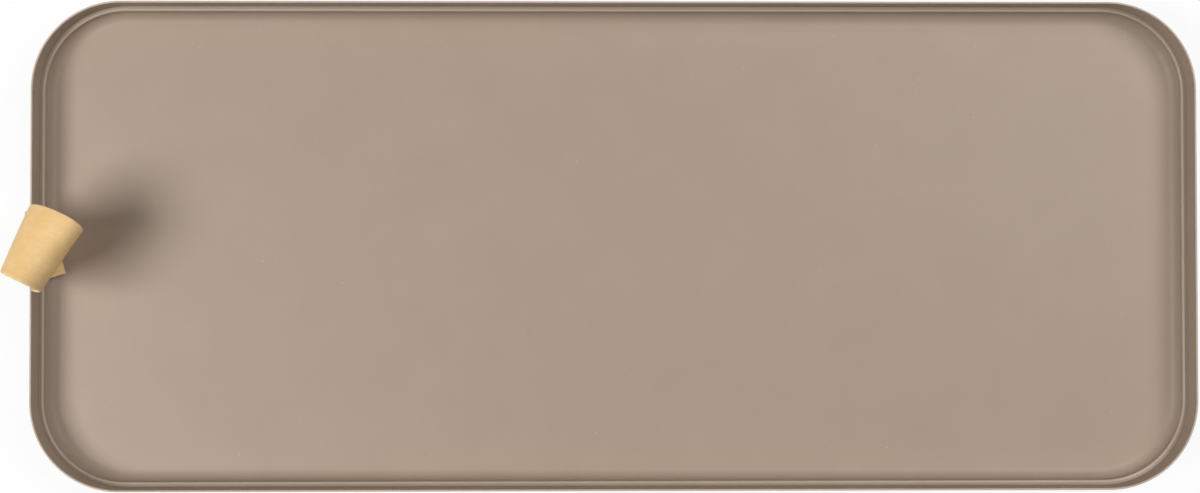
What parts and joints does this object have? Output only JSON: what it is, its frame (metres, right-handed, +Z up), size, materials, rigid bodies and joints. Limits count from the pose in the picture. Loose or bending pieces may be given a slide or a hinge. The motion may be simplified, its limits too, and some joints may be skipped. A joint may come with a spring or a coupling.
{
  "type": "decorative tray",
  "caption": "Long, low pressed-steel tray with round corners and a stepped rim, with a leather pull loop screwed to one short wall and rubber bumper feet underneath.",
  "frame": {"origin": "centre of the tray's floor, on its upper face", "axes": "+X along the tray's length, away from the leather loop; +Y across the tray; +Z up"},
  "size_m": [0.5995, 0.25, 0.0727],
  "materials": {
    "paint": "matte powder coat",
    "leather": "natural vegetable-tanned",
    "brass": "satin",
    "rubber": "matte"
  },
  "bodies": {
    "tray": {"tray_shell": "paint", "strap_inner_end": "leather", "strap_outer_end": "leather", "screw_post": "brass", "screw_cap": "brass", "foot_front_left": "rubber", "foot_front_right": "rubber", "foot_back_left": "rubber", "foot_back_right": "rubber"},
    "loop": {"strap_loop": "leather"}
  },
  "joints": [
    {"name": "strap_flop", "type": "hinge", "parent": "tray", "child": "loop", "pos_m": [-0.2975, 0, 0.0192], "axis": [0, 1, 0], "range_deg": [-60, 45], "stiffness_Nm_per_rad": 0.02}
  ]
}
